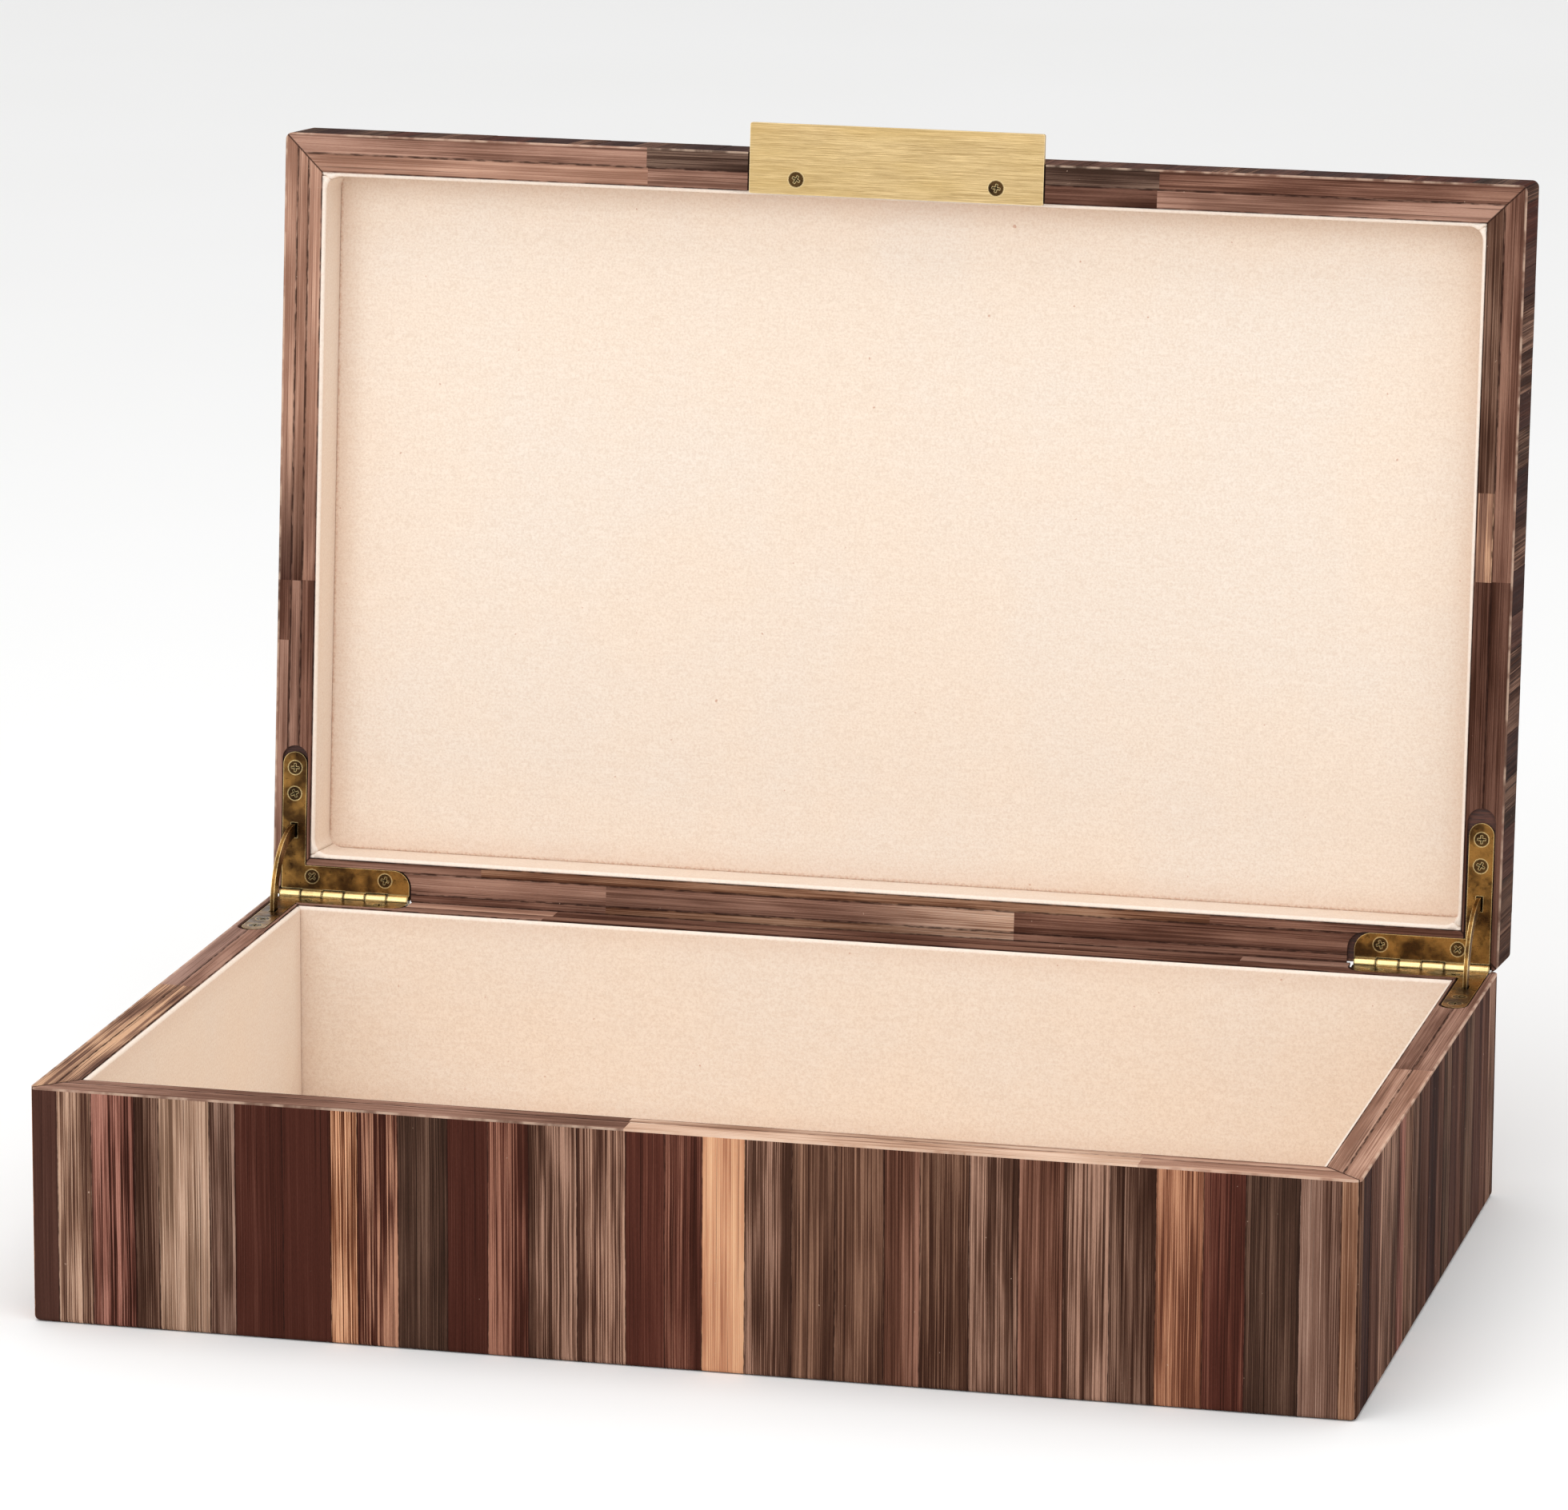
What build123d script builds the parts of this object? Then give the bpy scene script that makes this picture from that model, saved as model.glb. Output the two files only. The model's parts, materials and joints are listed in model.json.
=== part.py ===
from build123d import *
import os
from math import cos, radians, sin

# A low lidded box of veneered boards, lined with suede and covered in strips of dyed straw.
# Frame: origin at the centre of the underside, +X right, +Y towards the hinges, +Z up, millimetres.
# The lid is modelled at rest, which is open against its two hinge stays.

# Overall size
WIDTH = 356.0
DEPTH = 219.1
BASE_HEIGHT = 64.3
LID_HEIGHT = 22.1
RIM_WIDTH = 10.9
RIM_GAP = 0.12
OPEN_ANGLE = 95.0

# Boards and skins
SKIN = 0.8
RIM_INLAY = 0.6
CORNER_RADIUS = 2.0
BASE_EDGE_RADIUS = 1.5
LID_EDGE_RADIUS = 1.0
WALL = RIM_WIDTH - SKIN
FELT = 1.0
FELT_INSET = 2.0
STRAW_LIFT = 0.3
BOTTOM_BOARD = 5.0
TOP_BOARD = 4.0

# Lining
SIDE_LINING = 1.1
FLOOR_LINING = 1.5
LID_PANEL_LINING = 2.0
LINING_SETBACK = 0.3

# Hinges. All are side-rail quadrant hinges, the left one the mirror image of the right one.
PIN_Y = DEPTH / 2 + 0.06
PIN_ABOVE_RIM = RIM_GAP / 2
PIN_Z = BASE_HEIGHT + PIN_ABOVE_RIM
PIN_RADIUS = 0.8
PIN_CLEARANCE = 0.05
BARREL_RADIUS = 1.6
BARREL_START = 137.3
BARREL_END = 175.8
KNUCKLE_COUNT = 6
KNUCKLE_GAP = 0.25
MOVING_GAP = 0.3
LEAF = 1.2
ARM_X = 172.0
ARM_WIDTH = 7.0
ARM_REACH = 41.5
BACK_ARM_WIDTH = 8.7
BACK_ARM_RADIUS = 4.8
MORTISE_FIT = 0.15

# Stays of the hinges
STAY = 1.1
STAY_INNER = 16.85
STAY_OUTER = 20.65
STAY_LUG = 1.7
STAY_END = 12.0
STAY_LUG_START = 6.5
STAY_SLOT = 2.0
POCKET_WIDTH = 2.2
POCKET_NEAR = 7.2
POCKET_FAR = 23.1
POCKET_DEPTH = 20.0

# Screws
HINGE_SCREW_HEAD = 4.1
TAB_SCREW_HEAD = 4.5
SCREW_SHANK = 2.2
HEAD_LAND = 0.1
HEAD_DEPTH = 1.1
SCREW_LENGTH = 8.0
SCREW_FIT = 0.05
SIDE_ARM_SCREWS = (36.9, 29.4)
BACK_ARM_SCREWS = (166.4, 144.6)
BACK_ARM_SCREW_REACH = 5.6
RECESS_SPAN = 2.3
RECESS_SLOT = 0.55
RECESS_DEPTH = 0.85

# Lift tab
TAB_WIDTH = 84.4
TAB_NEAR = 207.7
TAB_FAR = 227.6
TAB = 1.5
TAB_CORNER = 0.6
TAB_SIDE_GAP = 0.5
TAB_SCREW_X = 28.7
TAB_SCREW_REACH = 212.0

# Widths of the straw strips, from left to right on the front and from front to back on the sides.
# Each set is stretched to fill its face exactly.
FRONT_STRIPS = (
    7.5, 9.5, 12, 6.5, 14, 7, 13, 13, 7.5, 11, 13.5, 11, 11, 13, 13, 10.5,
    10, 11.5, 12.5, 11.5, 13, 9.5, 13, 13, 12, 12, 12, 12.5, 11, 14, 10.5, 5,
)
SIDE_STRIPS = (5, 11, 15, 15.5, 11.5, 10, 11, 13.5, 14.5, 12.5, 10, 12, 11, 13, 14, 14, 12, 13.5)

# Rim inlay: each side has rows, from the outside in, given as width: (joints along the side).
BASE_RIM = {
    "front": {7.2: (-16, 120), 3.7: (-16.5, 119)},
    "back": {6.0: (-93, 106), 4.9: (-95, 106)},
    "left": {5.6: (2.5,), 5.3: (2.2,)},
    "right": {5.6: (0.7,), 5.3: (0.4,)},
}
LID_RIM = {
    "front": {5.6: (-72, 75), 5.3: (-71.6, 74.5)},
    "back": {2.2: (-79, 40), 6.0: (-79, 40), 2.7: (-116, 96)},
    "left": {3.8: (18.6, 35.9), 3.2: (18.6,), 3.9: (18.4,)},
    "right": {6.0: (0.6,), 4.9: (-24, 0.8)},
}

# How much wider than its leaf each mortise was cut: past the nose, past the end of the back arm,
# and along the outer and the inner edge of the side arm.
MORTISES = {
    ("base", "left"): {"nose": 0.8, "end": 0.8, "outer": 1.0, "inner": 0.2},
    ("base", "right"): {"nose": 0.8, "end": 0.8, "outer": 0.2, "inner": 0.7},
    ("lid", "left"): {"nose": 1.7, "end": 0.4, "outer": 0.2, "inner": 0.2},
    ("lid", "right"): {"nose": 4.0, "end": 1.9, "outer": 0.2, "inner": 0.5},
}

# The base and the lid are both trays. A tray is modelled with its rim at z = 0 and its body below
# it; the base is then raised, and the lid is turned over, closed and swung open.
nodes = {}


def block(x, y, z):
    """A box from three (low, high) pairs."""
    size = [high - low for low, high in (x, y, z)]
    middle = [(high + low) / 2 for low, high in (x, y, z)]
    return Pos(*middle) * Box(*size)


def slab(face, low, high):
    """A flat face on the XY plane, drawn out between two heights."""
    return Pos(0, 0, low) * extrude(face, high - low)


def rectangle(x, y):
    """A flat rectangle from two (low, high) pairs."""
    return Pos((x[0] + x[1]) / 2, (y[0] + y[1]) / 2) * Rectangle(x[1] - x[0], y[1] - y[0])


def rod(radius, x_low, x_high, y, z):
    """A round bar along X."""
    return Pos((x_low + x_high) / 2, y, z) * Cylinder(radius, x_high - x_low, rotation=(0, 90, 0))


def flip(shape):
    """The same piece for the other hinge."""
    return shape.mirror(Plane.YZ)


def one_solid(shape):
    """The single solid that a cut leaves."""
    return shape.solids()[0]


def cut(shape, tools):
    """Takes every tool that reaches the shape out of it."""
    for tool in tools:
        shape = shape - tool
    return shape


# ---------------------------------------------------------------- cutters for the hinges


def leaf_plan(nose=0.0, end=0.0, outer=0.0, inner=0.0, fit=0.0):
    """The L-shaped outline of a right-hand leaf, or of the mortise that it lies in."""
    outer_x = ARM_X + ARM_WIDTH / 2 + outer + fit
    inner_x = ARM_X - ARM_WIDTH / 2 - inner - fit
    nose_radius = (outer_x - inner_x) / 2
    nose_y = PIN_Y - ARM_REACH - nose - fit + nose_radius
    side_arm = rectangle((inner_x, outer_x), (nose_y, PIN_Y))
    nose_end = Pos((outer_x + inner_x) / 2, nose_y) * Circle(nose_radius)
    end_x = BARREL_START - end - fit
    edge_y = PIN_Y - BACK_ARM_WIDTH - fit
    radius = BACK_ARM_RADIUS
    back_arm = rectangle((end_x + radius, outer_x), (edge_y, PIN_Y))
    back_end = rectangle((end_x, end_x + radius), (edge_y + radius, PIN_Y))
    back_corner = Pos(end_x + radius, edge_y + radius) * Circle(radius)
    return side_arm + nose_end + back_arm + back_end + back_corner


def hinge_cutters(tray, side):
    """What a hinge takes out of the wood of a tray: mortise, barrel notch and stay pocket."""
    mortise = slab(leaf_plan(fit=MORTISE_FIT, **MORTISES[(tray, side)]), -LEAF, 1.0)
    notch_radius = BARREL_RADIUS + MOVING_GAP
    notch = rod(notch_radius, BARREL_START - MOVING_GAP, BARREL_END + MOVING_GAP, PIN_Y, PIN_ABOVE_RIM)
    pocket = block(
        (ARM_X - POCKET_WIDTH / 2, ARM_X + POCKET_WIDTH / 2),
        (PIN_Y - POCKET_FAR, PIN_Y - POCKET_NEAR),
        (-POCKET_DEPTH, 0),
    )
    cutters = [mortise, notch, pocket]
    return [flip(cutter) for cutter in cutters] if side == "left" else cutters


def tab_recess():
    """The recess in the front rim of the lid that the lift tab lies in."""
    half = TAB_WIDTH / 2 + TAB_SIDE_GAP
    return block((-half, half), (-DEPTH / 2 - 1.0, PIN_Y - TAB_NEAR + MORTISE_FIT), (-TAB, 1.0))


def tray_cutters(tray):
    cutters = hinge_cutters(tray, "left") + hinge_cutters(tray, "right")
    if tray == "lid":
        cutters.append(tab_recess())
    return cutters


# ---------------------------------------------------------------- boards, straw and lining of a tray


def walls(low, cutters):
    """Four boards. The side boards run the full depth and the other two stand between them."""
    outer_x, outer_y = WIDTH / 2 - SKIN, DEPTH / 2 - SKIN
    inner_x, inner_y = outer_x - WALL, outer_y - WALL
    height = (low, -RIM_INLAY)
    boards = {
        "front_wall": block((-inner_x, inner_x), (-outer_y, -inner_y), height),
        "back_wall": block((-inner_x, inner_x), (inner_y, outer_y), height),
        "left_wall": block((-outer_x, -inner_x), (-outer_y, outer_y), height),
        "right_wall": block((inner_x, outer_x), (-outer_y, outer_y), height),
    }
    return {name: [one_solid(cut(board, cutters))] for name, board in boards.items()}


def side_wedge(side, inset):
    """The part of the plan that belongs to one side, mitred at both corners."""
    x, y = WIDTH / 2, DEPTH / 2
    corners = {
        "front": ((-x, -y), (x, -y), (x - inset, -y + inset), (-x + inset, -y + inset)),
        "back": ((x, y), (-x, y), (-x + inset, y - inset), (x - inset, y - inset)),
        "left": ((-x, y), (-x, -y), (-x + inset, -y + inset), (-x + inset, y - inset)),
        "right": ((x, -y), (x, y), (x - inset, y - inset), (x - inset, -y + inset)),
    }[side]
    return make_face(Polyline(*corners, close=True))


def strip_edges(widths, length):
    """Where each strip starts and ends along a face of the given length."""
    scale = length / sum(widths)
    edges = [-length / 2]
    for width in widths:
        edges.append(edges[-1] + width * scale)
    return list(zip(edges[:-1], edges[1:]))


def envelope(height, edge_radius):
    """The outer shape of a closed tray: upright corners rounded, and the far face's edges eased."""
    body = slab(RectangleRounded(WIDTH, DEPTH, CORNER_RADIUS), -height, 0)
    return fillet(body.edges().group_by(Axis.Z)[0], edge_radius)


def straw_side(side, widths, low, outside, cutters):
    """The upright strips that cover one outer face of a tray."""
    high = -RIM_INLAY
    plan = Rectangle(WIDTH, DEPTH) - Rectangle(WIDTH - 2 * SKIN, DEPTH - 2 * SKIN)
    sheet = cut(slab(plan & side_wedge(side, SKIN), low, high) & outside, cutters)
    across = side in ("front", "back")
    strips = []
    for start, end in strip_edges(widths, WIDTH if across else DEPTH):
        reach = (-WIDTH, WIDTH)
        span = block((start, end), reach, (low, high)) if across else block(reach, (start, end), (low, high))
        strips += (sheet & span).solids()
    return strips


def straw_sides(low, outside, cutters):
    widths = {
        "front": FRONT_STRIPS,
        "back": FRONT_STRIPS[::-1],
        "left": SIDE_STRIPS[::-1],
        "right": SIDE_STRIPS,
    }
    return {f"{side}_marquetry": straw_side(side, widths[side], low, outside, cutters) for side in widths}


def rim_side(side, rows, cutters):
    """The straw along one side of a rim: rows side by side, each jointed in its own places."""
    across = side in ("front", "back")
    sign = 1 if side in ("back", "right") else -1
    outline = RectangleRounded(WIDTH, DEPTH, CORNER_RADIUS) & side_wedge(side, RIM_WIDTH)
    length, half = (WIDTH, DEPTH / 2) if across else (DEPTH, WIDTH / 2)
    band = cut(slab(outline, -RIM_INLAY, 0), cutters)
    pieces = []
    outer = half
    for width, joints in rows.items():
        row = sorted((sign * outer, sign * (outer - width)))
        stops = [-length, *joints, length]
        for run in zip(stops[:-1], stops[1:]):
            spans = (run, row) if across else (row, run)
            pieces += (band & block(*spans, (-RIM_INLAY, 0))).solids()
        outer -= width
    return pieces


def rim_inlays(sides, cutters):
    return {f"{side}_rim_inlay": rim_side(side, rows, cutters) for side, rows in sides.items()}


def side_linings(depth, cutters):
    """Suede-covered cards on the inner faces. The side cards stand between the other two."""
    outer_x, outer_y = WIDTH / 2 - RIM_WIDTH, DEPTH / 2 - RIM_WIDTH
    inner_x, inner_y = outer_x - SIDE_LINING, outer_y - SIDE_LINING
    height = (-depth, -LINING_SETBACK)
    cards = {
        "front_lining": block((-outer_x, outer_x), (-outer_y, -inner_y), height),
        "back_lining": block((-outer_x, outer_x), (inner_y, outer_y), height),
        "left_lining": block((-outer_x, -inner_x), (-inner_y, inner_y), height),
        "right_lining": block((inner_x, outer_x), (-inner_y, inner_y), height),
    }
    return {name: [one_solid(cut(card, cutters))] for name, card in cards.items()}


def flat_lining(depth, thickness):
    """The padded panel that covers the board, between the side linings."""
    inner_x = WIDTH / 2 - RIM_WIDTH - SIDE_LINING
    inner_y = DEPTH / 2 - RIM_WIDTH - SIDE_LINING
    return [block((-inner_x, inner_x), (-inner_y, inner_y), (-depth, -depth + thickness))]


def board(top, bottom):
    """The board that closes a tray, fitted between its walls."""
    half_x, half_y = WIDTH / 2 - RIM_WIDTH, DEPTH / 2 - RIM_WIDTH
    return [block((-half_x, half_x), (-half_y, half_y), (bottom, top))]


# ---------------------------------------------------------------- hardware


def screw(head, turn=0.0):
    """A countersunk cross-recess screw, pointing down, with the top of its head at z = 0."""
    shank_radius = SCREW_SHANK / 2
    land = Pos(0, 0, -HEAD_LAND / 2) * Cylinder(head / 2, HEAD_LAND)
    cone = Pos(0, 0, -HEAD_LAND - HEAD_DEPTH / 2) * Cone(shank_radius, head / 2, HEAD_DEPTH)
    neck = HEAD_LAND + HEAD_DEPTH
    tip = SCREW_SHANK
    straight = SCREW_LENGTH - neck - tip
    shank = Pos(0, 0, -neck - straight / 2) * Cylinder(shank_radius, straight)
    point = Pos(0, 0, -SCREW_LENGTH + tip / 2) * Cone(RECESS_SLOT / 2, shank_radius, tip)
    body = land + cone + shank + point
    for angle in (turn, turn + 90):
        slot = Pos(0, 0, -RECESS_DEPTH / 2) * Box(RECESS_SPAN, RECESS_SLOT, RECESS_DEPTH)
        body = body - Rot(0, 0, angle) * slot
    return one_solid(body)


def screw_hole(head, thickness):
    """The countersunk hole for a screw in a plate whose upper face is at z = 0."""
    top, bottom = head / 2 + SCREW_FIT, SCREW_SHANK / 2 + SCREW_FIT
    land = Cylinder(top, 2 * (HEAD_LAND + SCREW_FIT))
    cone = Pos(0, 0, -HEAD_LAND - SCREW_FIT - HEAD_DEPTH / 2) * Cone(bottom, top, HEAD_DEPTH)
    return land + cone + Pos(0, 0, -thickness) * Cylinder(bottom, 2 * thickness)


def hinge_screw_places():
    side_arm = [(ARM_X, PIN_Y - reach) for reach in SIDE_ARM_SCREWS]
    back_arm = [(x, PIN_Y - BACK_ARM_SCREW_REACH) for x in BACK_ARM_SCREWS]
    return side_arm + back_arm


def knuckle_spans():
    """The length of barrel that each knuckle fills, from the corner of the box inwards."""
    pitch = (BARREL_END - BARREL_START) / KNUCKLE_COUNT
    half_gap = KNUCKLE_GAP / 2
    return [
        (BARREL_END - (i + 1) * pitch + half_gap, BARREL_END - i * pitch - half_gap)
        for i in range(KNUCKLE_COUNT)
    ]


def leaf(first_knuckle, bore):
    """A right-hand leaf: an L-shaped plate with every other knuckle rolled at its back edge."""
    plate = slab(leaf_plan(), -LEAF, 0)
    for i, (low, high) in enumerate(knuckle_spans()):
        if i % 2 == first_knuckle:
            plate = plate + rod(BARREL_RADIUS, low, high, PIN_Y, PIN_ABOVE_RIM)
        else:
            room = BARREL_RADIUS + MOVING_GAP
            plate = plate - rod(room, low - KNUCKLE_GAP, high + KNUCKLE_GAP, PIN_Y, PIN_ABOVE_RIM)
    for i, (low, high) in enumerate(knuckle_spans()):
        if i % 2 != first_knuckle:
            continue
        plate = plate - rod(bore, low - KNUCKLE_GAP, high + KNUCKLE_GAP, PIN_Y, PIN_ABOVE_RIM)
    slot_y = PIN_Y - (STAY_INNER + STAY_OUTER) / 2
    slot_length = STAY_OUTER - STAY_INNER + 2 * MOVING_GAP
    plate = plate - Pos(ARM_X, slot_y, 0) * Box(STAY_SLOT, slot_length, 3 * LEAF)
    for x, y in hinge_screw_places():
        plate = plate - Pos(x, y, 0) * screw_hole(HINGE_SCREW_HEAD, LEAF)
    return one_solid(plate)


def hinge_screws():
    return [
        Pos(x, y, 0) * screw(HINGE_SCREW_HEAD, turn=25.0 * i)
        for i, (x, y) in enumerate(hinge_screw_places())
    ]


def sector(inner, outer, start, end):
    """A plate bent round the pin, between two angles above the direction of the front."""

    def at(radius, angle):
        return PIN_Y - radius * cos(radians(angle)), PIN_Z + radius * sin(radians(angle))

    middle = (start + end) / 2
    outline = [
        ThreePointArc(at(outer, start), at(outer, middle), at(outer, end)),
        Line(at(outer, end), at(inner, end)),
        ThreePointArc(at(inner, end), at(inner, middle), at(inner, start)),
        Line(at(inner, start), at(outer, start)),
    ]
    face = Plane.YZ.offset(ARM_X - STAY / 2) * make_face(outline)
    return extrude(face, STAY)


def stay():
    """The arc that runs through both leaves, with a lug at each end that stops under a leaf."""
    last = OPEN_ANGLE + STAY_END
    arc = sector(STAY_INNER, STAY_OUTER, -STAY_END, last)
    for start in (-STAY_END, last - STAY_END + STAY_LUG_START):
        end = start + STAY_END - STAY_LUG_START
        arc = arc + sector(STAY_INNER - STAY_LUG, STAY_OUTER + STAY_LUG, start, end)
    return one_solid(arc)


def lift_tab():
    """The brass plate under the front rim of the lid, by which the lid is lifted."""
    middle_y = PIN_Y - (TAB_NEAR + TAB_FAR) / 2
    outline = Pos(0, middle_y) * RectangleRounded(TAB_WIDTH, TAB_FAR - TAB_NEAR, TAB_CORNER)
    plate = slab(outline, -TAB, 0)
    for x in (-TAB_SCREW_X, TAB_SCREW_X):
        plate = plate - Pos(x, PIN_Y - TAB_SCREW_REACH, 0) * screw_hole(TAB_SCREW_HEAD, TAB)
    return one_solid(plate)


def lift_tab_screws():
    return [
        Pos(x, PIN_Y - TAB_SCREW_REACH, 0) * screw(TAB_SCREW_HEAD, turn=turn)
        for x, turn in ((-TAB_SCREW_X, 30.0), (TAB_SCREW_X, 10.0))
    ]


# ---------------------------------------------------------------- the two trays


def base_tray():
    cutters = tray_cutters("base")
    board_top = -BASE_HEIGHT + FELT + BOTTOM_BOARD
    felt = block(
        (-WIDTH / 2 + FELT_INSET, WIDTH / 2 - FELT_INSET),
        (-DEPTH / 2 + FELT_INSET, DEPTH / 2 - FELT_INSET),
        (-BASE_HEIGHT, -BASE_HEIGHT + FELT),
    )
    return {
        **walls(-BASE_HEIGHT + FELT, cutters),
        **straw_sides(-BASE_HEIGHT + STRAW_LIFT, envelope(BASE_HEIGHT, BASE_EDGE_RADIUS), cutters),
        **rim_inlays(BASE_RIM, cutters),
        **side_linings(-board_top, cutters),
        "floor_lining": flat_lining(-board_top, FLOOR_LINING),
        "bottom_board": board(board_top, -BASE_HEIGHT + FELT),
        "felt": [felt],
    }


def lid_tray():
    cutters = tray_cutters("lid")
    board_top = -LID_HEIGHT + SKIN + TOP_BOARD
    outside = envelope(LID_HEIGHT, LID_EDGE_RADIUS)
    cover = (-LID_HEIGHT, -LID_HEIGHT + SKIN)
    top_strips = [
        one_solid(outside & block(span, (-DEPTH, DEPTH), cover))
        for span in strip_edges(FRONT_STRIPS[::-1], WIDTH)
    ]
    return {
        **walls(-LID_HEIGHT + SKIN, cutters),
        **straw_sides(-LID_HEIGHT + SKIN, outside, cutters),
        **rim_inlays(LID_RIM, cutters),
        **side_linings(-board_top, cutters),
        "panel_lining": flat_lining(-board_top, LID_PANEL_LINING),
        "top_board": board(board_top, -LID_HEIGHT + SKIN),
        "top_marquetry": top_strips,
    }


def in_base(solid):
    """Raises a piece from the tray's own frame to the top of the base."""
    return Pos(0, 0, BASE_HEIGHT) * solid


def in_lid(solid):
    """Turns a piece over into the closed lid, then swings it open about the hinge pins."""
    closed = Pos(0, 0, BASE_HEIGHT + RIM_GAP) * solid.mirror(Plane.XY)
    return closed.rotate(Axis((0, PIN_Y, PIN_Z), (1, 0, 0)), -OPEN_ANGLE)


for name, solids in base_tray().items():
    nodes[f"base_{name}"] = [in_base(solid) for solid in solids]
for name, solids in lid_tray().items():
    nodes[f"lid_{name}"] = [in_lid(solid) for solid in solids]

nodes["lift_tab"] = [in_lid(lift_tab())]
nodes["lift_tab_screws"] = [in_lid(solid) for solid in lift_tab_screws()]

base_leaf = leaf(0, PIN_RADIUS)
lid_leaf = leaf(1, PIN_RADIUS + PIN_CLEARANCE)
pin = rod(PIN_RADIUS, BARREL_START + KNUCKLE_GAP / 2, BARREL_END - KNUCKLE_GAP / 2, PIN_Y, PIN_ABOVE_RIM)
for side in ("right", "left"):
    turned = flip if side == "left" else (lambda solid: solid)
    nodes[f"{side}_base_leaf"] = [in_base(turned(base_leaf))]
    nodes[f"{side}_lid_leaf"] = [in_lid(turned(lid_leaf))]
    nodes[f"{side}_hinge_pin"] = [in_base(turned(pin))]
    nodes[f"{side}_base_leaf_screws"] = [in_base(turned(solid)) for solid in hinge_screws()]
    nodes[f"{side}_lid_leaf_screws"] = [in_lid(turned(solid)) for solid in hinge_screws()]
    nodes[f"{side}_stay"] = [turned(stay())]

os.makedirs("parts", exist_ok=True)
for name, solids in nodes.items():
    export_step(Compound(solids), f"parts/{name}.step")
print(len(nodes), "nodes,", sum(len(solids) for solids in nodes.values()), "solids")
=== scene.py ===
"""Looks for a low lidded box covered in strips of dyed straw and lined with suede.

All sizes are in millimetres until a mesh is made. Pieces of the lid are shaped in "home" coordinates,
the row frame with the lid closed, and then turned to the lid's place at rest.
"""

import json
import random
from math import exp, radians, sqrt

import bmesh
import bpy
from mathutils import Matrix, Vector
from mathutils.noise import noise


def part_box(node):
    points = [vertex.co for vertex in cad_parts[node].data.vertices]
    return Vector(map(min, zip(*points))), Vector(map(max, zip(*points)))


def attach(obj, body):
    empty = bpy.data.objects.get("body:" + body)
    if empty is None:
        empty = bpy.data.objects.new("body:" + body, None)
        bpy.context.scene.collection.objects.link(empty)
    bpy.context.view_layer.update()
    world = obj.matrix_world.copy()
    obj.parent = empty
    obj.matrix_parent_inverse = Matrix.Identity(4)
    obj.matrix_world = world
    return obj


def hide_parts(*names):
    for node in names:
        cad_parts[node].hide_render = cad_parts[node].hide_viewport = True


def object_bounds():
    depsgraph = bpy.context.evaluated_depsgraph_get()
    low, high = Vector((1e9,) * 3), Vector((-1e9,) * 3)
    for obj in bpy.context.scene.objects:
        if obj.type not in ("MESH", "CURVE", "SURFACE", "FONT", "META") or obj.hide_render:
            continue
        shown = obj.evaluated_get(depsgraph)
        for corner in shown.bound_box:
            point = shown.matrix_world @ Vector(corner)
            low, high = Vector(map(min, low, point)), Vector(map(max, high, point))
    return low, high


MM = 0.001

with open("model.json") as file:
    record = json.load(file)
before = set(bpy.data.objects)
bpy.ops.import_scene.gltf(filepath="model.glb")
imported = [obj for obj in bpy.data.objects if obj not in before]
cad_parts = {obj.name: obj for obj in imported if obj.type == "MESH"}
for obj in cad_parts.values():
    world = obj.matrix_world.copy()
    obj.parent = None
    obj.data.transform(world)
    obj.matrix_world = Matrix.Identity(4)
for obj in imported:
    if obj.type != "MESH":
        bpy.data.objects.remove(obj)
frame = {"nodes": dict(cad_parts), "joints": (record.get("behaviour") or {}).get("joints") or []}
cad_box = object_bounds()
nodes = frame["nodes"]

lid_hinge = next(j for j in frame["joints"] if j["name"] == "lid_hinge")
PIN = Vector(lid_hinge["pos_m"]) / MM
CLOSING_TURN = Matrix.Rotation(radians(lid_hinge["range_deg"][1]), 4, Vector(lid_hinge["axis"]))
LID_HOME = Matrix.Translation(PIN) @ CLOSING_TURN @ Matrix.Translation(-PIN)
BODY_HOMES = {"base": Matrix.Identity(4), "lid": LID_HOME}

HALF_WIDTH = cad_box[1][0] / MM
HALF_DEPTH = -cad_box[0][1] / MM

# Shape of the straw: how far a joint strays sideways and over what length, with a smaller and shorter
# wave on top, how near to a corner it is straight and over what reach it calms down, how far a strip
# stands above or below its neighbours, and how its edges are rounded
WAVE = 0.28
WAVE_LENGTH = 45.0
SMALLER_WAVE = 0.4
SMALLER_WAVE_LENGTH = 15.0
CORNER_STRAIGHT = 3.0
CORNER_CALM = 9.0
PROUD = 0.05
CUT_SPACING = 9.0
STRIP_EDGE_ROUNDING = 0.12
BACK_EDGE_ROUNDING = 0.03
NARROWEST_ROW = 1.5

# A point this near to a strip's outer face is on it
FLUSH = 0.01

# Faces that meet at less than the one angle are one flat face, and at more than the other, a sharp edge
FLAT_ANGLE = radians(1)
SHARP_ANGLE = radians(35)

# How far the lid's back edge reaches past its skin, and how near to the edge a point goes with it
BACK_LIP = 0.12
BACK_LIP_REACH = 0.1

# Dye in the straw: how much it leans to one edge of a strip, how much of it leaves the main colour as it
# is, how much one strip's tint may differ from its dye, and over what length the end of a run turns to
# another dye
DYE_SLANT = 0.1
EVEN_UPTAKE = 0.02
TINT_RANGE = (0.93, 1.07)
END_TURN_LENGTH = 48.0
RIM_STREAKS = 0.5
# Painted shade on the rims: their dyes are darkened by these factors, the base rim's the most, to stand in
# for the shade on them
BASE_RIM_PAINTED_SHADE = 0.84
LID_RIM_PAINTED_SHADE = 0.95
STRAW_GLOSS = 0.004
MITRE_DARKNESS = 0.8

# Hinge barrels, which start and end at these distances from the middle of the box
BARREL_RADIUS = 1.6
BARREL_START = 137.3
BARREL_END = 175.8
KNUCKLES = 6
KNUCKLE_PITCH = (BARREL_END - BARREL_START) / KNUCKLES

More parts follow.
